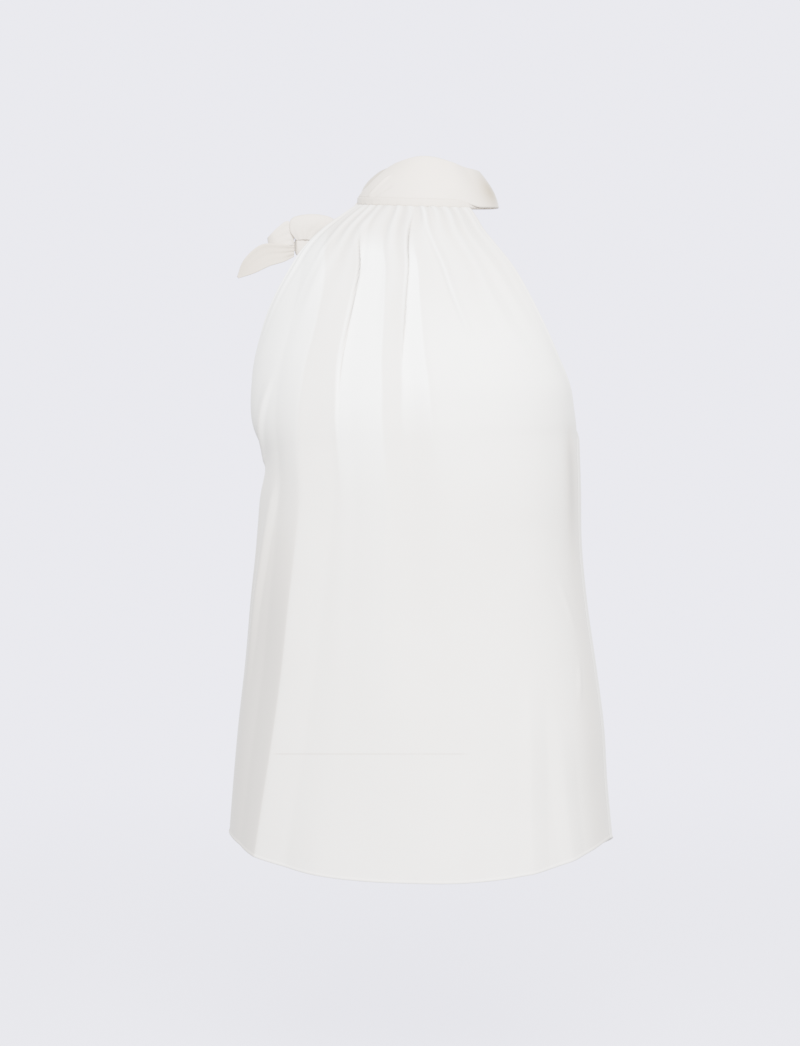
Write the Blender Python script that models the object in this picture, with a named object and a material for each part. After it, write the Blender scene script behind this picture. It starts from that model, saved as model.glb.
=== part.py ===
"""A sleeveless halter top in soft white cloth, filled out as it is worn.

The front and back panels hang from a narrow neck binding. A wide sash stands round the neck
above it, leaves the neck at the wearer's right side and is tied there in a small bow.

Metres, +Z up, the front faces -Y and the wearer's left is +X. The origin is the middle of the
neck, level with the seam that joins the panels to the binding, where the wearer holds it up.
"""
import math
from collections import namedtuple

import bmesh
import bpy
import numpy as np

# Cloth and seams
CLOTH = 0.0012          # wall of one panel
BINDING_CLOTH = 0.0024  # the binding closes over both sides of the gathered edge
SASH_CLOTH = 0.0020     # the sash is folded double
SEAM_GAP = 0.0003       # clear space between two pieces that are sewn together

# The neck ring that the binding and the sash stand on
NECK_HALF_WIDTH = 0.0635
NECK_HALF_DEPTH = 0.0610
NECK_DIP = 0.0061       # the neck seam is this much lower in front
NECK_BACK_RISE = 0.0040 # and this much higher behind
NECK_TILT = 0.0034      # and this much lower at the wearer's left
BINDING_HEIGHT = 0.0070
SASH_FOOT_FLARE = 0.0003    # the sash's lower edge stands this far outside the neck ring
SASH_LEAN = 0.63            # the sash narrows by this much of its height
SASH_TOP_SHIFT = 0.0047     # and leans to the wearer's left
SASH_BULGE = 0.0035
SASH_TOP_SIDE = 0.0310      # height of the sash's upper edge over the shoulders
SASH_TOP_FRONT_RISE = 0.0105
SASH_TOP_FRONT_POWER = 3.1  # the higher, the narrower the rise in front
SASH_TOP_BACK_RISE = 0.0050
SASH_TOP_BACK_POWER = 1.5
SASH_OPENS_AT = -111.0      # angle at which the binding and the sash are open for the head
SASH_OPENING = 13.0         # degrees left open between the ends

# Heights of the panels, measured down from the neck seam
UNDERARM = -0.222
SIDE_HEM = -0.574
HEM_DROP = 0.031        # the curved hem hangs this much lower at the middle than at the sides
HEM_CURVE = 2.8         # how late the hem turns up towards the side seams
HEM_SHIFT = 0.08        # its lowest part lies this far to the wearer's left of the middle
ARMHOLE_TILT = 0.009    # the wearer's right armhole reaches lower, the left one higher
TILT_REACH = 0.080
UNDERARM_PINCH = 0.0115     # the wearer's right side is drawn in a little just below the arm
PINCH_HEIGHT = -0.228
PINCH_REACH = 0.025
PINCH_STARTS = 0.35         # part of the half panel that is not drawn in
HEM_CURVE_STARTS = -0.300   # down to here the rows lie level, below they follow the hem
NECK_BLEND = 0.022          # over this height the sections pass into the curve of the neck

# Where the panels join the neck: the middle of each seam and half of its angle, in degrees
FRONT_SEAM_MIDDLE = -11.0
FRONT_SEAM_SPAN = 60.0
BACK_SEAM_MIDDLE = 180.0
BACK_SEAM_SPAN = 27.0

# Body below the armholes: one row for each level, front and back panel together
Level = namedtuple("Level", "height half_width centre_x side_y front_y back_y")
BODY = [
    Level(-0.222, 0.1472, -0.0048, -0.018, -0.1350, 0.0925),
    Level(-0.270, 0.1467, -0.0019, -0.022, -0.1330, 0.0890),
    Level(-0.306, 0.1482, -0.0030, -0.022, -0.1320, 0.0880),
    Level(-0.362, 0.1540, -0.0038, -0.021, -0.1310, 0.0900),
    Level(-0.417, 0.1604, -0.0024, -0.020, -0.1330, 0.0940),
    Level(-0.472, 0.1671, -0.0019, -0.019, -0.1360, 0.0990),
    Level(-0.524, 0.1710, -0.0028, -0.018, -0.1400, 0.1040),
    Level(-0.574, 0.1753, -0.0025, -0.018, -0.1440, 0.1090),
]

# Panels between the armholes and the neck: one row for each level
Yoke = namedtuple("Yoke", "height half_width centre_x side_y mid_y half_span")
FRONT_YOKE = [
    Yoke(0.000, 0.0530, -0.0045, -0.0360, -0.0625, 55),
    Yoke(-0.026, 0.0762, -0.0133, -0.0480, -0.0780, 60.7),
    Yoke(-0.044, 0.0916, -0.0133, -0.0550, -0.0870, 62.5),
    Yoke(-0.060, 0.1029, -0.0111, -0.0600, -0.0940, 63.5),
    Yoke(-0.090, 0.1199, -0.0103, -0.0620, -0.1070, 67.8),
    Yoke(-0.119, 0.1324, -0.0096, -0.0580, -0.1180, 73.2),
    Yoke(-0.147, 0.1420, -0.0092, -0.0500, -0.1270, 79.0),
    Yoke(-0.176, 0.1482, -0.0070, -0.0400, -0.1330, 84.0),
    Yoke(-0.198, 0.1489, -0.0064, -0.0300, -0.1350, 87.1),
    Yoke(-0.213, 0.1480, -0.0052, -0.0220, -0.1355, 89.2),
]
BACK_YOKE = [
    Yoke(0.000, 0.0295, 0.0000, 0.0557, 0.0625, 27),
    Yoke(-0.020, 0.0361, 0.0000, 0.0608, 0.0700, 31),
    Yoke(-0.045, 0.0470, 0.0000, 0.0658, 0.0790, 36),
    Yoke(-0.085, 0.0656, 0.0000, 0.0694, 0.0890, 42),
    Yoke(-0.130, 0.0905, 0.0000, 0.0639, 0.0940, 50),
    Yoke(-0.170, 0.1140, 0.0000, 0.0491, 0.0950, 60),
    Yoke(-0.200, 0.1279, 0.0000, 0.0368, 0.0940, 66),
]
FRONT = FRONT_YOKE + [Yoke(b.height, b.half_width, b.centre_x, b.side_y, b.front_y, 90) for b in BODY]
BACK = BACK_YOKE + [Yoke(b.height, b.half_width, b.centre_x, b.side_y, b.back_y, 90) for b in BODY]
BOXINESS = 0.85         # below 1, a section stays flat in the middle and turns late at the sides


def along(table, field, height):
    """A field of a table at any height, on a smooth curve through its rows. Front and back take
    their slope at the underarm from the body, so that they run together below it."""
    rows = sorted(table, key=lambda row: row.height)
    x = np.array([row.height for row in rows])
    y = np.array([getattr(row, field) for row in rows], float)
    slope = np.gradient(y, x)
    k = int(np.argmin(np.abs(x - UNDERARM)))
    slope[k] = (y[k] - y[k - 1]) / (x[k] - x[k - 1])
    h = np.clip(height, x[0], x[-1])
    i = np.clip(np.searchsorted(x, h) - 1, 0, len(x) - 2)
    step = x[i + 1] - x[i]
    t = (h - x[i]) / step
    return (y[i] * (1 + 2 * t) * (1 - t) ** 2 + slope[i] * step * t * (1 - t) ** 2
            + y[i + 1] * t * t * (3 - 2 * t) + slope[i + 1] * step * t * t * (t - 1))


def smooth(value):
    """0 below 0, 1 above 1, and a smooth rise between."""
    t = np.clip(value, 0, 1)
    return t * t * (3 - 2 * t)


# Soft folds of the panels. A fold stands out by rise along a crest that starts at across_top,
# eases over to across_body and ends at across_low; left and right are its breadths in metres.
Fold = namedtuple("Fold", "top bottom across_top across_body across_low ease rise left right")
FRONT_FOLDS = [
    Fold(-0.019, -0.600, -0.88, -0.35, -0.54, 0.030, 0.0060, 0.030, 0.040),
    Fold(-0.013, -0.330, -0.44, -0.21, -0.20, 0.014, 0.0044, 0.026, 0.007),
    Fold(-0.012, -0.280, 0.20, 0.10, 0.07, 0.030, 0.0040, 0.024, 0.007),
    Fold(-0.024, -0.600, -0.10, 0.00, -0.03, 0.030, 0.0020, 0.014, 0.014),
    Fold(-0.014, -0.200, 0.31, 0.37, 0.45, 0.020, 0.0018, 0.008, 0.008),
    Fold(-0.011, -0.240, 0.70, 0.75, 0.62, 0.030, 0.0022, 0.012, 0.012),
    Fold(-0.240, -0.600, -0.53, -0.66, -0.74, 0.060, 0.0024, 0.010, 0.014),
    Fold(-0.380, -0.600, 0.53, 0.50, 0.48, 0.040, 0.0028, 0.012, 0.016),
]
BACK_FOLDS = [
    Fold(-0.020, -0.600, -0.40, -0.46, -0.52, 0.030, 0.0045, 0.022, 0.026),
    Fold(-0.020, -0.600, 0.15, 0.08, 0.05, 0.030, 0.0040, 0.024, 0.018),
    Fold(-0.020, -0.600, 0.50, 0.55, 0.60, 0.030, 0.0045, 0.024, 0.024),
]
FOLD_STARTS_OVER = 0.030    # a fold grows to its full rise over this height
FOLD_FADES_OVER = 0.150     # and fades out over this one
FOLDS_STOP_AT_SIDE = 0.12   # part of the half panel over which folds flatten towards its edges

# Gathers of the two neck seams
FRONT_GATHERS = 13
BACK_GATHERS = 9
GATHER_RISE = 0.0015
GATHER_UNEVEN = 0.30
GATHER_WAVES = (2.3, 0.9)   # how quickly the depth of the gathers changes along the seam
GATHER_LENGTH = 0.045       # a gather fades to a third over this height
COLUMNS_PER_GATHER = 4
FRONT_ROWS = 28
BACK_ROWS = 22
ROW_CROWDING = 1.6          # rows lie closer together near the neck

RING_COLUMNS = 48
SASH_ROWS = 5

# The bow: its middle, and a frame that faces a little to the wearer's left
KNOT = (-0.1205, 0.0080, -0.0330)
BOW_TURN = 14.0
KNOT_HALF_OUT = 0.0086
KNOT_HALF_UP = 0.0100
KNOT_HALF_FORWARD = 0.0070
KNOT_SQUARENESS = 0.55      # 1 would be an ellipsoid, towards 0 it becomes a box
KNOT_COLUMNS = 20
KNOT_ROWS = 12
RIBBON_CLOTH = 0.0018
RIBBON_COLUMNS = 6
RIBBON_STEPS = 3            # cross-sections between two rows of a ribbon's table

# Ribbons of the bow in millimetres from the middle of the knot: out from the neck, up and forward.
# lean is the turn of the band's width from upright towards out, swing its turn towards forward.
Bend = namedtuple("Bend", "out up forward lean swing half_width cup")
BOW = {
    "sash_strap": [
        Bend(-64.6, 54.4, 8.2, -38, 13, 9.2, 0),
        Bend(-66.0, 53.3, 3.8, -20, 8, 9.0, 0),
        Bend(-62.0, 47.5, -1.5, 25, 4, 8.5, 0),
        Bend(-56.0, 37.5, -5.5, 60, 0, 7.5, 0.5),
        Bend(-46.0, 25.5, -9.0, 48, 0, 8.5, 1),
        Bend(-36.0, 18.5, -10.0, 35, 0, 10.5, 1.5),
        Bend(-26.0, 12.0, -8.5, 28, 0, 10.5, 1.5),
        Bend(-16.0, 1.6, -2.2, 8, 0, 8.0, 1),
        Bend(-9.5, 0.0, 0.0, 0, 0, 6.5, 0),
    ],
    "loop_outer": [
        Bend(9.7, 6.2, 2.8, 0, 0, 5.0, 0),
        Bend(13, 11.9, 5, 5, 0, 11, 0),
        Bend(21.3, 8.4, 5.2, 18, 0, 8.7, 0),
        Bend(28, 5.1, 4, 18, 0, 6.3, 0),
        Bend(32.5, 3.4, -0.5, 10, 0, 4.7, 0),
        Bend(28, 5.1, -5, 18, 0, 6.3, 0),
        Bend(21.3, 8.4, -6, 18, 0, 8.7, 0),
        Bend(13, 11.9, -5.5, 5, 0, 11, 0),
        Bend(9.7, 6.2, -2.8, 0, 0, 5.0, 0),
    ],
    "loop_upper": [
        Bend(-1.5, 11.4, 3.4, 90, 0, 6.5, 0),
        Bend(-3.5, 17.5, 7.6, 90, 0, 16, 0),
        Bend(-8.5, 24.5, 8, 89, 0, 22, 0),
        Bend(-10.8, 28.8, 4.8, 88, 0, 21.4, 0),
        Bend(-10, 24.5, 1.8, 89, 0, 18.5, 0),
        Bend(-6, 17.5, 1, 90, 0, 9.5, 0),
        Bend(-3, 12.4, -1.4, 90, 0, 5, 0),
    ],
    "tail_leaf": [
        Bend(9.2, -5, 2.5, 0, 0, 4.9, 0),
        Bend(20, -7.6, 8.6, 10, 0, 8, 1),
        Bend(35, -9.6, 10, 22, 0, 10.6, 1.5),
        Bend(50, -19.5, 8, 37, 0, 8, 1.5),
        Bend(61, -29.5, 4, 42, 0, 1.2, 0),
    ],
    "tail_hanging": [
        Bend(-1, -11, -2, 90, 0, 5, 0),
        Bend(-5, -28, -5, 90, 0, 9, 1.5),
        Bend(-8, -48, -7, 84, 0, 11, 2),
        Bend(-9, -66, -7, 78, 0, 7, 1.5),
        Bend(-9, -76, -6, 75, 0, 1.2, 0),
    ],
}

ROUNDING = {"loop_upper": 0.13}     # how much the corners of a loop are drawn in to the knot

CLOTH_COLOUR = (0.835, 0.825, 0.805)
SASH_COLOUR = (0.825, 0.812, 0.785)
CLOTH_ROUGHNESS = 0.8


def neck_height(angle):
    """Height of the neck seam at an angle in radians."""
    front, back = np.maximum(np.cos(angle), 0), np.maximum(-np.cos(angle), 0)
    return NECK_BACK_RISE * back - NECK_DIP * front - NECK_TILT * np.sin(angle)


def neck_seam(angle):
    """A point of the neck seam. The angle is in degrees, 0 in front and 90 at the wearer's left."""
    a = np.radians(angle)
    x, y = NECK_HALF_WIDTH * np.sin(a), -NECK_HALF_DEPTH * np.cos(a)
    return np.stack([x, y, neck_height(a)], -1)


def panel_point(table, seam_middle, seam_span, across, height):
    """A point of a panel before it is folded. across runs from -1 at the wearer's right edge to 1."""
    span = np.radians(along(table, "half_span", height))
    half_width = along(table, "half_width", height)
    side_y = along(table, "side_y", height)
    mid_y = along(table, "mid_y", height)
    x = along(table, "centre_x", height) + half_width * np.sin(span * across) / np.sin(span)
    late = 1 - np.clip(np.cos(span * across), 0, 1) ** BOXINESS
    late_at_edge = 1 - np.clip(np.cos(span), 1e-9, 1) ** BOXINESS
    y = mid_y + (side_y - mid_y) * late / late_at_edge
    at_side = smooth((-across - PINCH_STARTS) / (1 - PINCH_STARTS))
    x += UNDERARM_PINCH * at_side * np.exp(-((height - PINCH_HEIGHT) / PINCH_REACH) ** 2)
    tilt = ARMHOLE_TILT * across * np.exp(-((height - UNDERARM) / TILT_REACH) ** 2)
    drop = HEM_DROP * (1 - np.abs(np.sin(np.pi / 2 * (across - HEM_SHIFT))) ** HEM_CURVE)
    near_hem = np.clip((height - HEM_CURVE_STARTS) / (SIDE_HEM - HEM_CURVE_STARTS), 0, 1)
    point = np.stack([x, y, height + tilt - drop * near_hem], -1)

    turn = 1 if seam_middle < 90 else -1
    seam = neck_seam(seam_middle + turn * seam_span * across)
    seam[..., 2] -= SEAM_GAP
    near_neck = smooth((height + NECK_BLEND) / NECK_BLEND)[..., None]
    return point * (1 - near_neck) + seam * near_neck


def fold_rise(fold, table, across, height):
    """How far one fold stands out. On the back its place is a share of the half width as seen from
    behind, so that it runs straight on below the underarm."""
    span = np.radians(along(table, "half_span", height))
    reach = span * along(table, "half_width", height) / np.sin(span)
    if table is BACK:
        across = np.sin(span * across) / np.sin(span)
        reach = along(table, "half_width", height)
    down = (fold.top - height) / (fold.top - fold.bottom)
    crest = (fold.across_body + (fold.across_top - fold.across_body)
             * np.exp(-np.maximum(fold.top - height, 0) / fold.ease)
             + (fold.across_low - fold.across_body) * np.clip(down, 0, 1) ** 2)
    offset = (across - crest) * reach
    breadth = np.where(offset < 0, fold.left, fold.right)
    grows = smooth((fold.top - height) / FOLD_STARTS_OVER)
    fades = 1.0 if fold.bottom < SIDE_HEM else smooth((height - fold.bottom) / FOLD_FADES_OVER)
    return fold.rise * np.exp(-(offset / breadth) ** 2) * grows * fades


def grid_normals(points):
    """Unit normals of a grid of points, outwards when the columns run anticlockwise seen from above
    and the rows run upwards."""
    normal = np.cross(np.gradient(points, axis=1), np.gradient(points, axis=0))
    return normal / np.linalg.norm(normal, axis=-1, keepdims=True)


def cloth_panel(table, folds, seam_middle, seam_span, gathers, row_count):
    """Grid of points of the outer face of a gathered and folded panel, from its hem upwards."""
    columns = gathers * COLUMNS_PER_GATHER
    down = np.linspace(1, 0, row_count + 1) ** ROW_CROWDING
    across, height = np.meshgrid(np.linspace(-1, 1, columns + 1), SIDE_HEM * down)
    base = panel_point(table, seam_middle, seam_span, across, height)

    wave = gathers * (across + 1) / 2
    depth = GATHER_RISE * (1 + GATHER_UNEVEN * sum(np.sin(quick * wave) for quick in GATHER_WAVES))
    rise = -depth * np.cos(2 * np.pi * wave) * np.exp(height / GATHER_LENGTH)
    for fold in folds:
        rise = rise + fold_rise(fold, table, across, height)
    rise = rise * smooth((1 - np.abs(across)) / FOLDS_STOP_AT_SIDE)

    along_seam = np.gradient(base, axis=1)
    outward = np.stack([along_seam[..., 1], -along_seam[..., 0], 0 * rise], -1)
    if seam_middle > 90:
        outward = -outward
    outward /= np.linalg.norm(outward, axis=-1, keepdims=True)
    points = base + outward * rise[..., None]
    points[..., 1] += SEAM_GAP / 2 if seam_middle > 90 else -SEAM_GAP / 2
    return points if seam_middle < 90 else points[:, ::-1]


def ring(row_count, foot, top, flare=0.0, lean=0.0, shift=0.0, bulge=0.0):
    """Grid of points of a band that stands round the neck from one side of the opening to the other."""
    start, end = SASH_OPENS_AT + SASH_OPENING / 2, SASH_OPENS_AT + 360 - SASH_OPENING / 2
    angle = np.radians(np.linspace(start, end, RING_COLUMNS + 1))
    up = np.linspace(0, 1, row_count + 1)[:, None]
    wider = flare - lean * up * (top(angle) - foot(angle)) + bulge * np.sin(np.pi * up)
    x = (NECK_HALF_WIDTH + wider) * np.sin(angle) + shift * up
    y = -(NECK_HALF_DEPTH + wider) * np.cos(angle)
    z = foot(angle) * (1 - up) + top(angle) * up
    return np.stack([x, y, z], -1)


def binding_top(angle):
    return neck_height(angle) + BINDING_HEIGHT


def sash_foot(angle):
    return binding_top(angle) + SEAM_GAP


def sash_top(angle):
    front = np.maximum(np.cos(angle), 0) ** SASH_TOP_FRONT_POWER
    back = np.maximum(-np.cos(angle), 0) ** SASH_TOP_BACK_POWER
    return SASH_TOP_SIDE + SASH_TOP_FRONT_RISE * front + SASH_TOP_BACK_RISE * back


def bow_vector(out, up, forward):
    """A direction or offset of the bow's frame as a vector of the garment's."""
    a = math.radians(BOW_TURN)
    sideways = np.array([-math.cos(a), -math.sin(a), 0])
    facing = np.array([math.sin(a), -math.cos(a), 0])
    return out * sideways + up * np.array([0, 0, 1.0]) + forward * facing


def ribbon(bends, rounding=0.0):
    """Grid of points of one face of a ribbon: rows across the band, columns along it."""
    stations = np.arange(len(bends), dtype=float)
    t = np.linspace(0, len(bends) - 1, (len(bends) - 1) * RIBBON_STEPS + 1)
    value = {}
    for field in Bend._fields:
        y = np.array([getattr(bend, field) for bend in bends], float)
        slope = np.gradient(y, stations)
        i = np.minimum(t.astype(int), len(bends) - 2)
        s = t - i
        value[field] = (y[i] * (1 + 2 * s) * (1 - s) ** 2 + slope[i] * s * (1 - s) ** 2
                        + y[i + 1] * s * s * (3 - 2 * s) + slope[i + 1] * s * s * (s - 1))
    centre = np.array(KNOT) + np.array([
        bow_vector(o, u, f) for o, u, f in zip(value["out"], value["up"], value["forward"])]) / 1000
    lean, swing = np.radians(value["lean"]), np.radians(value["swing"])
    width = np.array([bow_vector(math.sin(l) * math.cos(w), math.cos(l) * math.cos(w), math.sin(w))
                      for l, w in zip(lean, swing)])
    tangent = np.gradient(centre, axis=0)
    tangent /= np.linalg.norm(tangent, axis=-1, keepdims=True)
    face = np.cross(tangent, width)
    face /= np.linalg.norm(face, axis=-1, keepdims=True)
    place = np.linspace(-1, 1, RIBBON_COLUMNS + 1)[:, None, None]
    half = (value["half_width"] / 1000)[None, :, None]
    cup = (value["cup"] / 1000)[None, :, None]
    points = centre + width * half * place - face * cup * place ** 2
    return np.array(KNOT) + (points - np.array(KNOT)) * (1 - rounding * place ** 2)


def cloth_solid(name, points, thickness, colour, both_ways=False, level_rows=()):
    """A closed body: the grid of points, and the same grid moved in by the thickness of the cloth.
    On the level rows it is moved in level, so that a seamed edge stays at its height."""
    normal = grid_normals(points)
    for row in level_rows:
        normal[row, :, 2] = 0
        normal[row] /= np.linalg.norm(normal[row], axis=-1, keepdims=True)
    outer = points + normal * thickness / 2 if both_ways else points
    inner = outer - normal * thickness
    rows, columns = points.shape[:2]
    vertices = np.concatenate([outer.reshape(-1, 3), inner.reshape(-1, 3)])
    inside = rows * columns
    at = np.arange(inside).reshape(rows, columns)
    faces = []
    for r in range(rows - 1):
        for c in range(columns - 1):
            a, b, d, e = at[r, c], at[r, c + 1], at[r + 1, c + 1], at[r + 1, c]
            faces.append((a, b, d, e))
            faces.append((inside + a, inside + e, inside + d, inside + b))
    rim = list(at[0]) + list(at[1:, -1]) + list(at[-1, -2::-1]) + list(at[-2:0:-1, 0])
    for a, b in zip(rim, rim[1:] + rim[:1]):
        faces.append((a, inside + a, inside + b, b))
    return closed_body(name, vertices, faces, colour)


def knot_solid(name, colour):
    """The knot: a rounded block of wrapped cloth."""
    def power(value, exponent):
        return np.sign(value) * np.abs(value) ** exponent
    turn = np.linspace(0, 2 * np.pi, KNOT_COLUMNS, endpoint=False)
    vertices = [np.array(KNOT) - bow_vector(0, KNOT_HALF_UP, 0)]
    for tip in np.linspace(-np.pi / 2, np.pi / 2, KNOT_ROWS + 1)[1:-1]:
        ring_size, up = power(math.cos(tip), KNOT_SQUARENESS), power(math.sin(tip), KNOT_SQUARENESS)
        for a in turn:
            vertices.append(np.array(KNOT) + bow_vector(
                KNOT_HALF_OUT * ring_size * power(math.cos(a), KNOT_SQUARENESS),
                KNOT_HALF_UP * up,
                KNOT_HALF_FORWARD * ring_size * power(math.sin(a), KNOT_SQUARENESS)))
    vertices.append(np.array(KNOT) + bow_vector(0, KNOT_HALF_UP, 0))
    last = len(vertices) - 1
    faces = []
    for c in range(KNOT_COLUMNS):
        d = (c + 1) % KNOT_COLUMNS
        faces.append((0, 1 + c, 1 + d))
        for r in range(KNOT_ROWS - 2):
            low, high = 1 + r * KNOT_COLUMNS, 1 + (r + 1) * KNOT_COLUMNS
            faces.append((low + c, high + c, high + d, low + d))
        top = 1 + (KNOT_ROWS - 2) * KNOT_COLUMNS
        faces.append((top + c, last, top + d))
    return closed_body(name, vertices, faces, colour)


def closed_body(name, vertices, faces, colour):
    mesh = bpy.data.meshes.new(name)
    mesh.from_pydata([tuple(map(float, v)) for v in vertices], [],
                     [tuple(map(int, f)) for f in faces])
    shape = bmesh.new()
    shape.from_mesh(mesh)
    bmesh.ops.triangulate(shape, faces=shape.faces)
    bmesh.ops.recalc_face_normals(shape, faces=shape.faces)
    shape.to_mesh(mesh)
    shape.free()
    for polygon in mesh.polygons:
        polygon.use_smooth = True
    body = bpy.data.objects.new(name, mesh)
    bpy.context.collection.objects.link(body)
    material = bpy.data.materials.new("cloth_of_" + name)
    material.use_nodes = True
    shader = material.node_tree.nodes["Principled BSDF"]
    shader.inputs["Base Color"].default_value = (*colour, 1)
    shader.inputs["Roughness"].default_value = CLOTH_ROUGHNESS
    mesh.materials.append(material)
    return body


for thing in list(bpy.data.objects):
    bpy.data.objects.remove(thing, do_unlink=True)

front = cloth_panel(FRONT, FRONT_FOLDS, FRONT_SEAM_MIDDLE, FRONT_SEAM_SPAN, FRONT_GATHERS, FRONT_ROWS)
cloth_solid("front_panel", front, CLOTH, CLOTH_COLOUR, level_rows=[-1])
back = cloth_panel(BACK, BACK_FOLDS, BACK_SEAM_MIDDLE, BACK_SEAM_SPAN, BACK_GATHERS, BACK_ROWS)
cloth_solid("back_panel", back, CLOTH, CLOTH_COLOUR, level_rows=[-1])

binding = ring(1, neck_height, binding_top)
cloth_solid("neck_binding", binding, BINDING_CLOTH, SASH_COLOUR, both_ways=True, level_rows=[0, 1])
sash = ring(SASH_ROWS, sash_foot, sash_top, SASH_FOOT_FLARE, SASH_LEAN, SASH_TOP_SHIFT, SASH_BULGE)
cloth_solid("sash_band", sash, SASH_CLOTH, SASH_COLOUR, both_ways=True, level_rows=[0])

knot_solid("knot", SASH_COLOUR)
for name, bends in BOW.items():
    points = ribbon(bends, ROUNDING.get(name, 0.0))
    cloth_solid(name, points, RIBBON_CLOTH, SASH_COLOUR, both_ways=True)
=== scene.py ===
"""A sleeveless white halter top as it is worn, with its bow at the wearer's right.

Metres, +Z up, the front faces -Y and the wearer's left is +X. The origin is the middle of the neck.
"""
import math
from collections import namedtuple

import bmesh
import bpy
import numpy as np
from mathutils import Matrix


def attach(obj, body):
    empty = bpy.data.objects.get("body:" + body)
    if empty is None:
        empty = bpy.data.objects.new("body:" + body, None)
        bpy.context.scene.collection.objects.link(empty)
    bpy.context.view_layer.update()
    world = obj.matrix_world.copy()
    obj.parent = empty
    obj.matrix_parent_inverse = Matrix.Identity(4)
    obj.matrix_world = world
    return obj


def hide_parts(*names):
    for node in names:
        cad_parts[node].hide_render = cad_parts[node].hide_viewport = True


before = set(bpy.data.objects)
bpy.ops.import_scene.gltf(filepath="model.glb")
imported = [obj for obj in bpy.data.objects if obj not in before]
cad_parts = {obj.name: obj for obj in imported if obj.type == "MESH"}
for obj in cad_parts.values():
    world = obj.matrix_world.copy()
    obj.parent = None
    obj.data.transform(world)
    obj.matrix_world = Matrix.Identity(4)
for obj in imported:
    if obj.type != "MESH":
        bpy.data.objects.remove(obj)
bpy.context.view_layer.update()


# Front panel: one width of soft white cloth, gathered into the neck seam, cut away round the arms
# and flaring to a curved, narrowly rolled hem. It is turned round the wearer's chest and falls in
# flat folds from the gathers. Rows of the tables are levels of the body, measured from the neck.
CLOTH = 0.0008
SEAM_GAP = 0.0003
NECK_HALF_WIDTH = 0.0635
NECK_HALF_DEPTH = 0.0610
NECK_DIP = 0.0061
NECK_BACK_RISE = 0.0040
NECK_TILT = 0.0034
UNDERARM = -0.222
SIDE_HEM = -0.574
HEM_DROP = 0.031
HEM_CURVE = 2.8
HEM_SHIFT = 0.08
HEM_CURVE_STARTS = -0.300
ARMHOLE_TILT = 0.009
TILT_REACH = 0.080
UNDERARM_PINCH = 0.0115
PINCH_HEIGHT = -0.228
PINCH_REACH = 0.025
PINCH_STARTS = 0.35
NECK_BLEND = 0.022
BOXINESS = 0.85
FRONT_SEAM_MIDDLE = -11.0
FRONT_SEAM_SPAN = 60.0

Yoke = namedtuple("Yoke", "height half_width centre_x side_y mid_y half_span")
Level = namedtuple("Level", "height half_width centre_x side_y front_y back_y")
BODY = [
    Level(-0.222, 0.1472, -0.0048, -0.018, -0.1350, 0.0925),
    Level(-0.270, 0.1467, -0.0019, -0.022, -0.1330, 0.0890),
    Level(-0.306, 0.1482, -0.0030, -0.022, -0.1320, 0.0880),
    Level(-0.362, 0.1540, -0.0038, -0.021, -0.1310, 0.0900),
    Level(-0.417, 0.1604, -0.0024, -0.020, -0.1330, 0.0940),
    Level(-0.472, 0.1671, -0.0019, -0.019, -0.1360, 0.0990),
    Level(-0.524, 0.1710, -0.0028, -0.018, -0.1400, 0.1040),
    Level(-0.574, 0.1753, -0.0025, -0.018, -0.1440, 0.1090),
]
FRONT = [
    Yoke(0.000, 0.0530, -0.0045, -0.0360, -0.0625, 55),
    Yoke(-0.026, 0.0762, -0.0133, -0.0480, -0.0780, 60.7),
    Yoke(-0.044, 0.0916, -0.0133, -0.0550, -0.0870, 62.5),
    Yoke(-0.060, 0.1029, -0.0111, -0.0600, -0.0940, 63.5),
    Yoke(-0.090, 0.1199, -0.0103, -0.0620, -0.1070, 67.8),
    Yoke(-0.119, 0.1324, -0.0096, -0.0580, -0.1180, 73.2),
    Yoke(-0.147, 0.1420, -0.0092, -0.0500, -0.1270, 79.0),
    Yoke(-0.176, 0.1482, -0.0070, -0.0400, -0.1330, 84.0),
    Yoke(-0.198, 0.1489, -0.0064, -0.0300, -0.1350, 87.1),
    Yoke(-0.213, 0.1480, -0.0052, -0.0220, -0.1355, 89.2),
] + [Yoke(b.height, b.half_width, b.centre_x, b.side_y, b.front_y, 90) for b in BODY]

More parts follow.
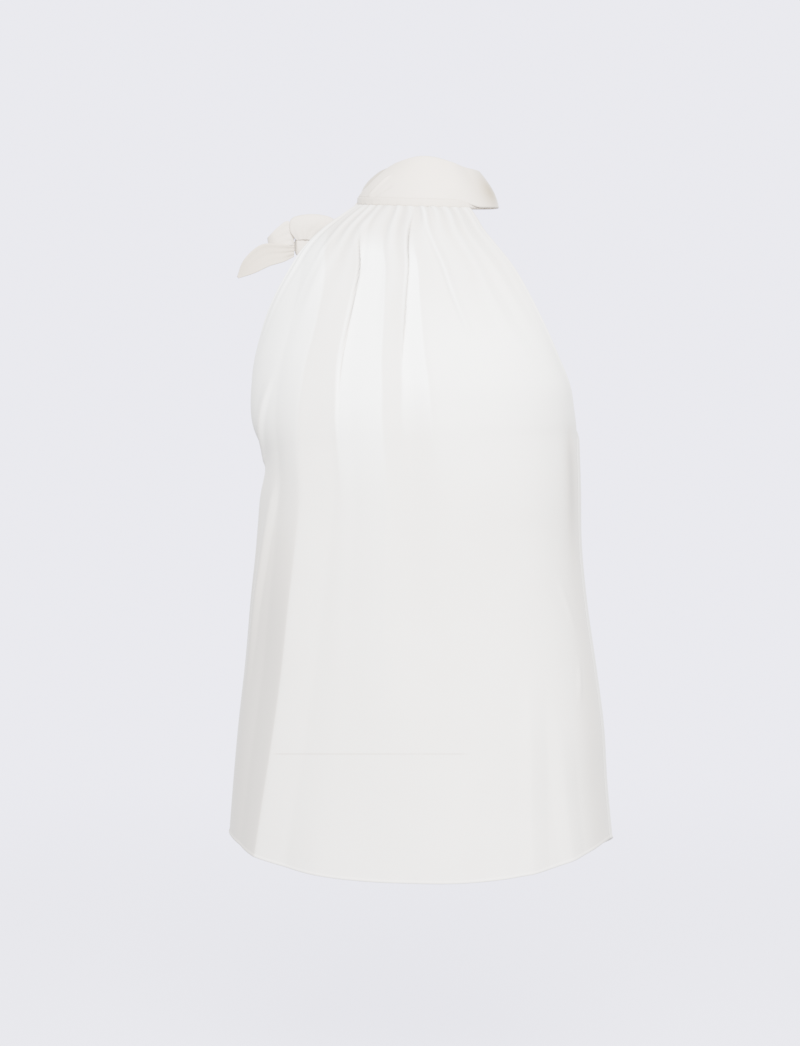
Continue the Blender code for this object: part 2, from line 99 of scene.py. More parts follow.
# A fold stands out by rise along a crest that starts at across_top, eases over to across_body and
# ends at across_low. It slopes down over left and right, in metres, and soft rounds its crest.
Fold = namedtuple(
    "Fold", "top bottom across_top across_body across_low ease rise left right soft starts fades")
FRONT_FOLDS = [
    # the crest where the cloth turns round the wearer's right side, all the way down
    Fold(-0.019, -0.640, -0.88, -0.35, -0.54, 0.030, 0.0065, 0.034, 0.032, 0.10, 0.060, 0.020),
    # two flat pleats that end in a sharp drop, and the slopes that rise behind them
    Fold(-0.010, -0.230, -0.44, -0.21, -0.20, 0.014, 0.0038, 0.028, 0.0016, 0.03, 0.020, 0.110),
    Fold(-0.016, -0.560, -0.12, 0.00, -0.03, 0.030, 0.0042, 0.029, 0.022, 0.06, 0.050, 0.380),
    Fold(-0.008, -0.190, 0.20, 0.10, 0.07, 0.034, 0.0036, 0.020, 0.0016, 0.03, 0.020, 0.090),
    Fold(-0.012, -0.290, 0.22, 0.185, 0.19, 0.030, 0.0026, 0.014, 0.030, 0.08, 0.030, 0.160),
    # narrow ridges that fan out to the wearer's left
    Fold(-0.006, -0.160, 0.30, 0.36, 0.47, 0.016, 0.0024, 0.004, 0.006, 0.10, 0.010, 0.080),
    Fold(-0.006, -0.170, 0.50, 0.60, 0.76, 0.018, 0.0022, 0.010, 0.012, 0.12, 0.012, 0.090),
    Fold(-0.006, -0.140, 0.66, 0.76, 0.86, 0.020, 0.0018, 0.010, 0.010, 0.12, 0.012, 0.080),
    # narrow ridges on the wearer's right, short below the seam
    Fold(-0.006, -0.120, -0.66, -0.52, -0.50, 0.020, 0.0014, 0.010, 0.008, 0.12, 0.012, 0.070),
    Fold(-0.006, -0.090, -0.28, -0.16, -0.15, 0.016, 0.0012, 0.008, 0.006, 0.12, 0.012, 0.060),
    # the hollow side of the body at the wearer's right and the light strip along it
    Fold(-0.235, -0.480, -0.53, -0.68, -0.76, 0.060, 0.0030, 0.016, 0.010, 0.14, 0.040, 0.140),
    # long soft folds of the skirt
    Fold(-0.400, -0.640, 0.54, 0.50, 0.49, 0.040, 0.0030, 0.010, 0.018, 0.16, 0.080, 0.020),
    Fold(-0.420, -0.640, 0.62, 0.66, 0.70, 0.060, 0.0024, 0.014, 0.018, 0.20, 0.100, 0.020),
    Fold(-0.470, -0.640, 0.24, 0.22, 0.20, 0.060, 0.0022, 0.030, 0.024, 0.30, 0.100, 0.020),
    Fold(-0.480, -0.640, -0.22, -0.24, -0.26, 0.060, 0.0020, 0.026, 0.030, 0.30, 0.100, 0.020),
    # small slanting creases below the wearer's left arm
    Fold(-0.336, -0.392, 0.72, 0.82, 0.88, 0.030, 0.0011, 0.005, 0.007, 0.20, 0.020, 0.025),
    Fold(-0.410, -0.450, 0.84, 0.80, 0.78, 0.030, 0.0010, 0.006, 0.005, 0.20, 0.015, 0.020),
    # the deep creases at the foot of the two sharp drops
    Fold(-0.022, -0.190, -0.432, -0.202, -0.192, 0.014, -0.0034, 0.0012, 0.0016, 0.03, 0.030, 0.070),
    Fold(-0.014, -0.165, 0.208, 0.108, 0.078, 0.034, -0.0034, 0.0012, 0.0016, 0.03, 0.020, 0.060),
    # the crease that runs up from the wearer's right underarm
    Fold(-0.150, -0.235, -0.60, -0.63, -0.80, 0.040, 0.0032, 0.014, 0.007, 0.10, 0.040, 0.010),
    # the shallow hollow below the wearer's left arm
    Fold(-0.190, -0.350, 0.90, 0.91, 0.93, 0.030, -0.0006, 0.016, 0.016, 0.30, 0.040, 0.080),
]
# The folds of that table that the painted highlights and painted shade follow, by their places in it
TURN, RIGHT_DROP, RIGHT_SLOPE, LEFT_DROP, LEFT_SLOPE, FAN_RIDGE = range(6)
LOW_CREASE, RIGHT_CREASE, LEFT_CREASE, ARM_CREASE, SIDE_HOLLOW = range(16, 21)
CREST_BLEND = 0.01      # how softly the foot of a fold runs out into the cloth
FOLDS_STOP_AT_SIDE = 0.10
# Painted light and shade: the cloth is painted whiter on the slopes that face the light and greyer where
# it turns from the light, between the crests of two folds, or from a fold to the edge of the panel.
Layer = namedtuple("Layer", "left right top bottom starts fades soft amount")
FRONT_PAINTED_LIGHT = [
    # painted shade below the neck seam, painted highlights on the slopes that face the light, and painted
    # shade on the sides that turn from it
    Layer(None, None, 0.000, -0.045, 0.004, 0.030, 0.010, -0.16),
    Layer(None, TURN, -0.010, -0.260, 0.040, 0.140, 0.003, 0.60),
    Layer(RIGHT_DROP, RIGHT_SLOPE, -0.024, -0.290, 0.040, 0.160, 0.003, 1.00),
    Layer(RIGHT_DROP, RIGHT_SLOPE, -0.200, -0.560, 0.060, 0.300, 0.016, 0.14),
    Layer(LEFT_DROP, LEFT_SLOPE, -0.030, -0.230, 0.040, 0.100, 0.003, 1.00),
    Layer(LEFT_SLOPE, None, -0.060, -0.300, 0.080, 0.160, 0.020, 0.30),
    Layer(None, TURN, -0.230, -0.700, 0.160, 0.030, 0.002, -0.50),
    Layer(LOW_CREASE, None, -0.190, -0.700, 0.060, 0.030, 0.040, -0.22),
]
# The shade inside a deep crease: along which fold, from which height to which, how broad, how dark
Shadow = namedtuple("Shadow", "fold top bottom starts fades breadth amount")
FRONT_SHADOWS = [
    Shadow(RIGHT_CREASE, -0.026, -0.190, 0.040, 0.060, 0.0007, 2.2),
    Shadow(LEFT_CREASE, -0.016, -0.165, 0.030, 0.060, 0.0007, 2.2),
    # a negative amount: a painted highlight along the narrow ridge
    Shadow(FAN_RIDGE, -0.006, -0.130, 0.006, 0.060, 0.0016, -0.4),
    Shadow(ARM_CREASE, -0.165, -0.232, 0.030, 0.020, 0.0014, 0.4),
    Shadow(SIDE_HOLLOW, -0.195, -0.340, 0.050, 0.080, 0.0110, 0.50),
]
PLAIN_TONE = 0.28     # the tone where no painted light or shade lies: 0 is the fully shaded colour, 1 the white
FRONT_GATHERS = 13
GATHER_RISE = 0.0018
GATHER_UNEVEN = 0.35
GATHER_WAVES = (2.3, 0.9)       # how quickly their depth changes from one to the next
GATHER_DRIFT = 0.10     # how far a gather wanders from its straight line
GATHER_SHARPNESS = 0.25         # makes the crests narrower than the hollows
GATHER_CREST_HIGHLIGHT = 0.36    # painted light: the crests of the gathers are painted whiter than the hollows between them
GATHER_LENGTH = 0.024
COLUMNS_PER_GATHER = 26
FRONT_ROWS = 118
ROW_CROWDING = 1.30
ROLL_WIDTH = 0.0026     # the rolled edge of the hem and of the armholes
ROLL_RISE = 0.00055
ROLL_STARTS_BELOW = 0.006
ROLL_ROWS = (0.0005, 0.0011, 0.0018, 0.0024, 0.0028, 0.0034)
WRINKLE_RISE = 0.0007


def along(table, field, height):
    """A field of a table at any height, on a smooth curve through its rows."""
    rows = sorted(table, key=lambda row: row.height)
    x = np.array([row.height for row in rows])
    y = np.array([getattr(row, field) for row in rows], float)
    slope = np.gradient(y, x)
    k = int(np.argmin(np.abs(x - UNDERARM)))
    slope[k] = (y[k] - y[k - 1]) / (x[k] - x[k - 1])
    h = np.clip(height, x[0], x[-1])
    i = np.clip(np.searchsorted(x, h) - 1, 0, len(x) - 2)
    step = x[i + 1] - x[i]
    t = (h - x[i]) / step
    return (y[i] * (1 + 2 * t) * (1 - t) ** 2 + slope[i] * step * t * (1 - t) ** 2
            + y[i + 1] * t * t * (3 - 2 * t) + slope[i + 1] * step * t * t * (t - 1))


def smooth(value):
    """0 below 0, 1 above 1, and a smooth rise between."""
    t = np.clip(value, 0, 1)
    return t * t * (3 - 2 * t)


def waviness(x, y, seed):
    """Uneven waves between about -1 and 1, the same on every run."""
    total = 0 * x
    for k in range(5):
        a = seed * 1.7 + k * 2.4
        total = total + np.sin(x * (0.7 + 0.37 * k) * math.cos(a) + y * (0.8 + 0.31 * k) * math.sin(a) + a)
    return total / 3


def neck_height(angle):
    """Height of the neck seam at an angle in radians."""
    front, back = np.maximum(np.cos(angle), 0), np.maximum(-np.cos(angle), 0)
    return NECK_BACK_RISE * back - NECK_DIP * front - NECK_TILT * np.sin(angle)


def panel_point(table, seam_middle, seam_span, across, height):
    """A point of a panel before it is folded. across runs from -1 at the wearer's right edge to 1."""
    span = np.radians(along(table, "half_span", height))
    half_width = along(table, "half_width", height)
    side_y = along(table, "side_y", height)
    mid_y = along(table, "mid_y", height)
    x = along(table, "centre_x", height) + half_width * np.sin(span * across) / np.sin(span)
    late = 1 - np.clip(np.cos(span * across), 0, 1) ** BOXINESS
    late_at_edge = 1 - np.clip(np.cos(span), 1e-9, 1) ** BOXINESS
    y = mid_y + (side_y - mid_y) * late / late_at_edge
    at_side = smooth((-across - PINCH_STARTS) / (1 - PINCH_STARTS))
    x += UNDERARM_PINCH * at_side * np.exp(-((height - PINCH_HEIGHT) / PINCH_REACH) ** 2)
    tilt = ARMHOLE_TILT * across * np.exp(-((height - UNDERARM) / TILT_REACH) ** 2)
    drop = HEM_DROP * (1 - np.abs(np.sin(np.pi / 2 * (across - HEM_SHIFT))) ** HEM_CURVE)
    near_hem = np.clip((height - HEM_CURVE_STARTS) / (SIDE_HEM - HEM_CURVE_STARTS), 0, 1)
    point = np.stack([x, y, height + tilt - drop * near_hem], -1)

    turn = 1 if seam_middle < 90 else -1
    angle = np.radians(seam_middle + turn * seam_span * across)
    seam = np.stack([NECK_HALF_WIDTH * np.sin(angle), -NECK_HALF_DEPTH * np.cos(angle),
                     neck_height(angle) - SEAM_GAP], -1)
    near_neck = smooth((height + NECK_BLEND) / NECK_BLEND)[..., None]
    return point * (1 - near_neck) + seam * near_neck


def crest(fold, height):
    """Where the crest of a fold lies across the panel."""
    down = (fold.top - height) / (fold.top - fold.bottom)
    return (fold.across_body + (fold.across_top - fold.across_body)
            * np.exp(-np.maximum(fold.top - height, 0) / fold.ease)
            + (fold.across_low - fold.across_body) * np.clip(down, 0, 1) ** 2)


def fold_rise(fold, reach, across, height):
    """How far one fold stands out: a ridge with straight slopes and a rounded crest."""
    offset = (across - crest(fold, height)) * reach
    t = np.abs(offset) / np.where(offset < 0, fold.left, fold.right)
    slope = 1 + fold.soft - np.sqrt(t * t + fold.soft ** 2)
    ridge = (slope + np.sqrt(slope ** 2 + CREST_BLEND)) / 2 - CREST_BLEND / 4
    grows = smooth((fold.top - height) / fold.starts)
    fades = smooth((height - fold.bottom) / fold.fades)
    return fold.rise * ridge * grows * fades


def painted_tone(painted_light, shadows, folds, reach, across, height):
    """How white the cloth is painted: painted highlights and painted shade between the folds, and painted
    shade in creases. Below 0 it is painted as the shade inside a crease.
    """
    total = PLAIN_TONE + 0 * across
    for light_patch in painted_light:
        left = -9 if light_patch.left is None else crest(folds[light_patch.left], height)
        right = 9 if light_patch.right is None else crest(folds[light_patch.right], height)
        inside = (smooth((across - left) * reach / light_patch.soft + 0.5)
                  * smooth((right - across) * reach / light_patch.soft + 0.5))
        total = total + light_patch.amount * inside * smooth((light_patch.top - height) / light_patch.starts) * smooth(
            (height - light_patch.bottom) / light_patch.fades)
    for shadow in shadows:
        offset = (across - crest(folds[shadow.fold], height)) * reach
        total = total - shadow.amount * np.exp(-(offset / shadow.breadth) ** 2) * smooth(
            (shadow.top - height) / shadow.starts) * smooth((height - shadow.bottom) / shadow.fades)
    return total


def grid_normals(points):
    """Unit normals of a grid of points whose rows run upwards and whose columns run anticlockwise."""
    normal = np.cross(np.gradient(points, axis=1), np.gradient(points, axis=0))
    return normal / np.linalg.norm(normal, axis=-1, keepdims=True)


def panel_grid(table, folds, painted_light, shadows, seam_middle, seam_span, gathers, columns_per_gather,
               row_count, seed):
    """Middle surface of a gathered and folded panel, the extra thickness of its rolled edges and
    how white it is painted with painted light and shade."""
    columns = gathers * columns_per_gather
    down = np.linspace(1, 0, row_count + 1) ** ROW_CROWDING
    down = np.array(sorted(list(down) + [1 + k / SIDE_HEM for k in ROLL_ROWS], reverse=True))
    across, height = np.meshgrid(np.linspace(-1, 1, columns + 1), SIDE_HEM * down)
    base = panel_point(table, seam_middle, seam_span, across, height)

    wave = gathers * (across + 1) / 2
    depth = GATHER_RISE * (1 + GATHER_UNEVEN * sum(np.sin(quick * wave) for quick in GATHER_WAVES))
    length = GATHER_LENGTH * (1.2 + 0.5 * np.sin(1.9 * wave + 1) + 0.4 * np.sin(3.1 * wave))
    bend = GATHER_DRIFT * waviness(wave * 0.8, height * 60, seed)
    ripple = np.cos(2 * np.pi * (wave + bend * smooth(-height / 0.02)))
    rise = -depth * (ripple - GATHER_SHARPNESS * ripple ** 2) * np.exp(height / length)
    span = np.radians(along(table, "half_span", height))
    reach = span * along(table, "half_width", height) / np.sin(span)
    place, place_reach = across, reach
    if seam_middle > 90:
        # folds of the back run straight on below the underarm
        place = np.sin(span * across) / np.sin(span)
        place_reach = along(table, "half_width", height)
    for fold in folds:
        rise = rise + fold_rise(fold, place_reach, place, height)
    white = painted_tone(painted_light, shadows, folds, place_reach, place, height)
    # painted light on the gathers: whiter crests, darker hollows
    white = white - GATHER_CREST_HIGHLIGHT * ripple * np.exp(height / length) * smooth(-height / 0.003)
    at_side = smooth((1 - np.abs(across)) / FOLDS_STOP_AT_SIDE)
    rise = rise * at_side
    rise = rise + WRINKLE_RISE * at_side * smooth(-height / 0.1) * waviness(
        across * 9, height * 14, seed + 1)

    along_seam = np.gradient(base, axis=1)
    outward = np.stack([along_seam[..., 1], -along_seam[..., 0], 0 * rise], -1)
    if seam_middle > 90:
        outward = -outward
    outward /= np.linalg.norm(outward, axis=-1, keepdims=True)
    points = base + outward * rise[..., None]
    points[..., 1] += SEAM_GAP / 2 if seam_middle > 90 else -SEAM_GAP / 2

    # the hem is rolled, and so are the edges of the panel above the underarm
    to_hem = np.abs(points[..., 2] - points[:1, :, 2])
    to_side = (1 - np.abs(across)) * reach
    to_edge = np.where(height > UNDERARM, np.minimum(to_hem, to_side), to_hem)
    roll = np.sqrt(np.clip(1 - (2 * to_edge / ROLL_WIDTH - 1) ** 2, 0, 1))
    roll = np.where(height > -ROLL_STARTS_BELOW, 0, roll)
    thicker = 2 * ROLL_RISE * roll
    if seam_middle > 90:
        points, thicker, white = points[:, ::-1], thicker[:, ::-1], white[:, ::-1]
    return points, thicker, white


def mark_painted_light(mesh, white):
    """Stores how white the cloth is painted at each vertex of a mesh, its painted light and shade, for its
    material.
    """
    marks = mesh.attributes.new("painted_light", "FLOAT", "POINT")
    marks.data.foreach_set("value", np.asarray(white, np.float32).ravel())


def shell(name, points, thickness, white=0.8):
    """A closed thin shell round a grid of points, with a rim. The grid's rows run upwards."""
    normal = grid_normals(points)
    half = np.broadcast_to(np.asarray(thickness)[..., None] / 2, normal.shape)
    outer, inner = points + normal * half, points - normal * half
    rows, columns = points.shape[:2]
    at = np.arange(rows * columns).reshape(rows, columns)
    a, b, c, d = at[:-1, :-1], at[:-1, 1:], at[1:, 1:], at[1:, :-1]
    front = np.stack([a, b, c, d], -1).reshape(-1, 4)
    back = np.stack([a, d, c, b], -1).reshape(-1, 4) + rows * columns
    rim = np.concatenate([at[0], at[1:, -1], at[-1, -2::-1], at[-2:0:-1, 0]])
    after = np.roll(rim, -1)
    edge = np.stack([rim, rim + rows * columns, after + rows * columns, after], -1)
    faces = np.concatenate([front, back, edge])
    vertices = np.concatenate([outer.reshape(-1, 3), inner.reshape(-1, 3)])
    mesh = bpy.data.meshes.new(name)
    mesh.from_pydata(vertices.tolist(), [], faces.tolist())
    mesh.polygons.foreach_set("use_smooth", np.ones(len(faces), bool))
    mesh.update()
    white = np.broadcast_to(white, points.shape[:2])
    mark_painted_light(mesh, np.stack([white, white]))
    piece = bpy.data.objects.new(name, mesh)
    bpy.context.collection.objects.link(piece)
    return piece


class Shade:
    """A value of a shader, with Python's arithmetic."""
    tree = None

    def __init__(self, socket):
        self.socket = socket

    @classmethod
    def node(cls, kind, settings=None, values=None, output=0):
        made = cls.tree.nodes.new(kind)
        for name, value in (settings or {}).items():
            setattr(made, name, value)
        for name, value in (values or {}).items():
            if isinstance(value, Shade):
                cls.tree.links.new(value.socket, made.inputs[name])
            else:
                made.inputs[name].default_value = value
        return cls(made.outputs[output])

    def math(self, operation, other, swapped=False):
        first, second = (other, self) if swapped else (self, other)
        return Shade.node("ShaderNodeMath", {"operation": operation}, {0: first, 1: second})

    def __add__(self, other):
        return self.math("ADD", other)

    def __radd__(self, other):
        return self.math("ADD", other, True)

    def __sub__(self, other):
        return self.math("SUBTRACT", other)

    def __rsub__(self, other):
        return self.math("SUBTRACT", other, True)

    def __mul__(self, other):
        return self.math("MULTIPLY", other)

    def __rmul__(self, other):
        return self.math("MULTIPLY", other, True)


THREAD = 0.00045        # width of one thread of the cloth
STREAK = 0.012          # length over which a thread keeps its thickness
THREAD_RELIEF = 0.0003
THREAD_TONE = 0.08      # how much whiter one thread is than another
THREAD_ROUGHNESS = 0.12
CLOUD_SCALE = 22.0
CLOUD_TONE = 0.14       # how much whiter the cloth is in one place than in another
# the painted shade inside a crease
CREASE_SHADE_COLOUR = (0.20, 0.19, 0.18)
# pressed paints a faint broken line of crease shade across the skirt
PRESSED_SLOPE = (-0.019, 0.077, 1.0)    # the line across the skirt looks straight from the front
PRESSED_HEIGHT = -0.5034
PRESSED_MIDDLE = -0.023
PRESSED_HALF_LENGTH = 0.093
PRESSED_ENDS = 0.010    # it fades out over this length
PRESSED_GAPS = (0.26, 0.46)     # and where the clouds of the cloth are below these
PRESSED_BREADTH = 0.0013
# how dark the painted crease shade of that line is
PRESSED_LINE_SHADE = 0.42


def ramp(value, low, high):
    """0 at low and 1 at high, with a smooth rise between."""
    if low < high:
        return Shade.node("ShaderNodeMapRange", {"interpolation_type": "SMOOTHSTEP"}, {
            "Value": value, "From Min": low, "From Max": high})
    return 1.0 - ramp(value, high, low)


def cloth(name, colour, shaded_colour, roughness=0.72, sheen=0.35, weave=0.30, pressed=False):
    """White woven cloth: crossing threads, faint cloudy shading and a soft sheen. Its colour runs from
    the shaded colour to the white one by the painted light and shade stored on the mesh, and below 0
    into painted crease shade. pressed adds the faint broken line of painted crease shade across the skirt."""
    material = bpy.data.materials.new(name)
    material.use_nodes = True
    tree = material.node_tree
    Shade.tree = tree
    surface = tree.nodes["Principled BSDF"]
    where = Shade.node("ShaderNodeTexCoord", output="Object")
    warp = Shade.node("ShaderNodeVectorMath", {"operation": "MULTIPLY"}, {
        0: where, 1: (1 / THREAD, 1 / THREAD, 1 / STREAK)})
    weft = Shade.node("ShaderNodeVectorMath", {"operation": "MULTIPLY"}, {
        0: where, 1: (1 / STREAK, 1 / STREAK, 1 / THREAD)})
    upright = Shade.node("ShaderNodeTexNoise", None, {"Vector": warp, "Scale": 1.0, "Detail": 1.0})
    level = Shade.node("ShaderNodeTexNoise", None, {"Vector": weft, "Scale": 1.0, "Detail": 1.0})
    clouds = Shade.node("ShaderNodeTexNoise", None, {
        "Vector": where, "Scale": CLOUD_SCALE, "Detail": 3.0, "Roughness": 0.5})
    threads = upright * 0.5 + level * 0.5
    painted_light = Shade.node("ShaderNodeAttribute", {"attribute_name": "painted_light"}, output="Fac")
    if pressed:
        above = Shade.node("ShaderNodeVectorMath", {"operation": "DOT_PRODUCT"}, {
            0: where, 1: PRESSED_SLOPE}, output="Value") - PRESSED_HEIGHT
        sideways = Shade.node("ShaderNodeSeparateXYZ", None, {"Vector": where}, output=0) - PRESSED_MIDDLE
        painted_light = painted_light - PRESSED_LINE_SHADE * (
            ramp(above.math("ABSOLUTE", 0.0), PRESSED_BREADTH, 0.0)
            * ramp(sideways.math("ABSOLUTE", 0.0), PRESSED_HALF_LENGTH, PRESSED_HALF_LENGTH - PRESSED_ENDS)
            * ramp(clouds, *PRESSED_GAPS))
    tone = painted_light + (threads - 0.5) * THREAD_TONE + (clouds - 0.5) * CLOUD_TONE
    # painted light and shade: the tone runs from the shaded colour to the white, and below 0 the colour
    # darkens into painted crease shade
    tint = Shade.node("ShaderNodeMix", {"data_type": "RGBA"}, {
        "Factor": tone, 6: (*shaded_colour, 1), 7: (*colour, 1)}, output=2)
    crease = Shade.node("ShaderNodeMix", {"data_type": "RGBA"}, {
        "Factor": 0.0 - painted_light, 6: tint, 7: (*CREASE_SHADE_COLOUR, 1)}, output=2)
    tree.links.new(crease.socket, surface.inputs["Base Color"])
    rough = roughness + (threads - 0.5) * THREAD_ROUGHNESS
    tree.links.new(rough.socket, surface.inputs["Roughness"])
    bump = Shade.node("ShaderNodeBump", None, {
        "Strength": weave, "Distance": THREAD_RELIEF, "Height": threads})
    tree.links.new(bump.socket, surface.inputs["Normal"])
    surface.inputs["Sheen Weight"].default_value = sheen
    surface.inputs["Sheen Roughness"].default_value = 0.4
    surface.inputs["Specular IOR Level"].default_value = 0.25
    return material


def wear(piece, material):
    """Gives a piece its cloth and fixes it to the garment."""
    piece.data.materials.append(material)
    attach(piece, "root")


# the lit white of the panels and their shaded copy, between which the painted light and shade runs
PANEL_COLOURS = (0.960, 0.972, 0.960), (0.640, 0.598, 0.550)
FRONT_CLOTH = cloth("white_front_cloth", *PANEL_COLOURS, pressed=True)
points, thicker, white = panel_grid(
    FRONT, FRONT_FOLDS, FRONT_PAINTED_LIGHT, FRONT_SHADOWS, FRONT_SEAM_MIDDLE, FRONT_SEAM_SPAN,
    FRONT_GATHERS, COLUMNS_PER_GATHER, FRONT_ROWS, 1)
front = shell("front_panel_cloth", points, CLOTH + thicker, white)
wear(front, FRONT_CLOTH)
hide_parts("front_panel")


# Back panel: the same cloth, also gathered into the neck and cut away round the arms. It isn't seen
# in the photo and is finished plainly, with a few long folds like those of the front.
BACK_SEAM_MIDDLE = 180.0
BACK_SEAM_SPAN = 27.0
BACK = [
    Yoke(0.000, 0.0295, 0.0000, 0.0557, 0.0625, 27),
    Yoke(-0.020, 0.0361, 0.0000, 0.0608, 0.0700, 31),
    Yoke(-0.045, 0.0470, 0.0000, 0.0658, 0.0790, 36),
    Yoke(-0.085, 0.0656, 0.0000, 0.0694, 0.0890, 42),
    Yoke(-0.130, 0.0905, 0.0000, 0.0639, 0.0940, 50),
    Yoke(-0.170, 0.1140, 0.0000, 0.0491, 0.0950, 60),
    Yoke(-0.200, 0.1279, 0.0000, 0.0368, 0.0940, 66),
] + [Yoke(b.height, b.half_width, b.centre_x, b.side_y, b.back_y, 90) for b in BODY]
BACK_FOLDS = [
    Fold(-0.015, -0.640, -0.40, -0.46, -0.52, 0.030, 0.0050, 0.026, 0.030, 0.14, 0.050, 0.020),
    Fold(-0.015, -0.640, 0.15, 0.08, 0.05, 0.030, 0.0044, 0.030, 0.022, 0.14, 0.050, 0.020),
    Fold(-0.015, -0.640, 0.50, 0.55, 0.60, 0.030, 0.0050, 0.028, 0.028, 0.14, 0.050, 0.020),
    Fold(-0.010, -0.260, -0.15, -0.16, -0.20, 0.030, 0.0026, 0.012, 0.006, 0.08, 0.030, 0.140),
    Fold(-0.010, -0.220, 0.36, 0.30, 0.28, 0.030, 0.0024, 0.006, 0.012, 0.08, 0.030, 0.120),
    Fold(-0.430, -0.640, -0.16, -0.18, -0.22, 0.060, 0.0026, 0.020, 0.020, 0.25, 0.100, 0.020),
]
BACK_GATHERS = 9
BACK_COLUMNS_PER_GATHER = 16
BACK_ROWS = 120
LONG_RIGHT, LONG_LEFT, SHORT_RIGHT, SHORT_LEFT = 0, 2, 3, 4
# painted highlights between the folds of the back
BACK_PAINTED_LIGHT = [
    Layer(LONG_RIGHT, SHORT_RIGHT, -0.030, -0.420, 0.050, 0.300, 0.008, 0.30),
    Layer(SHORT_LEFT, LONG_LEFT, -0.030, -0.500, 0.050, 0.300, 0.008, 0.24),
]

points, thicker, white = panel_grid(
    BACK, BACK_FOLDS, BACK_PAINTED_LIGHT, [], BACK_SEAM_MIDDLE, BACK_SEAM_SPAN,
    BACK_GATHERS, BACK_COLUMNS_PER_GATHER, BACK_ROWS, 4)
back = shell("back_panel_cloth", points, CLOTH + thicker, white)
wear(back, cloth("white_back_cloth", *PANEL_COLOURS))
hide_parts("back_panel")


# Neck binding: a narrow strip of the sash's cloth folded over the gathered edges of both panels and
# sewn down. It is open at the wearer's right, under the bow, to let the head through.
SASH_OPENS_AT = -111.0
SASH_OPENING = 13.0
BINDING_HEIGHT = 0.0070
BINDING_CLOTH = 0.0022
BINDING_ROWS = 12
PUCKER_RISE = 0.00016   # where the stitches draw its foot in
RING_COLUMNS = 420
COVERED_FROM = 36.0     # from this angle to the next the sash comes down over the binding
COVERED_AT = 62.0
COVERED_THINNER = 0.60  # under the sash the binding is this much thinner
COVERED_INSET = 0.0005


def ring(row_count, foot, top, flare=0.0, lean=0.0, shift=0.0, bulge=0.0):
    """Grid of a band that stands round the neck, with the angle and the place upwards of its points."""
    start, end = SASH_OPENS_AT + SASH_OPENING / 2, SASH_OPENS_AT + 360 - SASH_OPENING / 2
    angle = np.radians(np.linspace(start, end, RING_COLUMNS + 1))
    up = np.linspace(0, 1, row_count + 1)[:, None]
    wider = flare * (1 - up) - lean * up * (top(angle) - foot(angle)) + bulge * np.sin(np.pi * up)
    x = (NECK_HALF_WIDTH + wider) * np.sin(angle) + shift * up
    y = -(NECK_HALF_DEPTH + wider) * np.cos(angle)
    z = foot(angle) * (1 - up) + top(angle) * up
    return np.stack([x, y, z], -1), np.broadcast_to(angle, x.shape), np.broadcast_to(up, x.shape)


def binding_top(angle):
    return neck_height(angle) + BINDING_HEIGHT


def covered(angle):
    """0 where the binding shows below the sash, 1 where the sash covers it."""
    return smooth((np.degrees(angle) - COVERED_FROM) / (COVERED_AT - COVERED_FROM))


def rounded(up, edge, least):
    """1 in the middle of a folded band and least at its two edges, rounded over part of its height."""
    nearest = np.clip(np.minimum(up, 1 - up) / edge, 0, 1)
    return least + (1 - least) * np.sqrt(1 - (1 - nearest) ** 2)


# the sash's white and its warm brown shaded copy, between which its painted shade runs
SASH_CLOTH = cloth("white_sash_cloth", (0.720, 0.645, 0.565), (0.360, 0.290, 0.190))
points, angle, up = ring(BINDING_ROWS, neck_height, binding_top)
puckers = PUCKER_RISE * np.sin(angle * 61) * np.sin(angle * 23 + 1) * (1 - up)
points = points + grid_normals(points) * (puckers - COVERED_INSET * covered(angle))[..., None]
thickness = BINDING_CLOTH * rounded(up, 0.35, 0.35) * (1 - COVERED_THINNER * covered(angle))
binding = shell("neck_binding_strip", points, thickness)
wear(binding, SASH_CLOTH)
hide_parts("neck_binding")


# Sash: a wide band folded double, standing round the neck and narrowing upwards. Its outer layer is
# wrapped lower at the wearer's right, so that the layer behind shows above it, and a small tuck
# runs up beside the bow.
SASH_TUCK = 0.0006          # its foot stands this far down inside the binding
SASH_FOOT_FLARE = -0.0012
SASH_COVER_FLARE = 0.0024   # how much further out its foot stands where it covers the binding
SASH_COVERS = 0.0062
SASH_LEAN = 0.63
SASH_TOP_SHIFT = 0.0047
SASH_BULGE = 0.0035
SASH_TOP_SIDE = 0.0310
SASH_TOP_FRONT_RISE = 0.0105
SASH_TOP_FRONT_POWER = 3.1
SASH_TOP_BACK_RISE = 0.0050
SASH_TOP_BACK_POWER = 1.5
SASH_THICKNESS = 0.0018
SASH_SHELL_ROWS = 48
WRAP_STEP = 0.0014
WRAP_SOFTNESS = 0.030
WRAP_ANGLES = (-104, -95, -80, -66, -54, -51, -48, -44, -38, -30, 0, 150)
WRAP_HEIGHTS = (-0.1, -0.05, 0.0, 0.14, 0.36, 0.52, 0.72, 0.95, 1.0, 1.1, 1.1, 1.1)
Crease = namedtuple("Crease", "depth angle_from up_from angle_to up_to breadth")
SASH_CREASES = [
    Crease(0.0014, -44, 0.05, -30, 0.55, 0.030),
    Crease(-0.0010, -39, 0.02, -22, 0.30, 0.040),
]
# painted shade along the tuck beside the bow
SASH_CREASE_SHADE = Crease(1.2, -43, 0.12, -34, 0.48, 0.010)
CREASE_ENDS = 0.30          # part of its length over which a crease fades at each end
HEIGHT_IN_DEGREES = 60.0    # an angle round the neck about as long as the sash is high
SASH_UNEVEN = 0.0003
SASH_WHITE = 0.90
UNDER_LAYER_SHADE = 0.55          # painted shade: how much greyer and warmer the layer behind is painted, as it turns from the light
SHADE = 0.95                # and the side over the wearer's left shoulder
SHADE_ANGLE = 84.0
SHADE_BREADTH = 22.0
SHADE_UP = 0.42


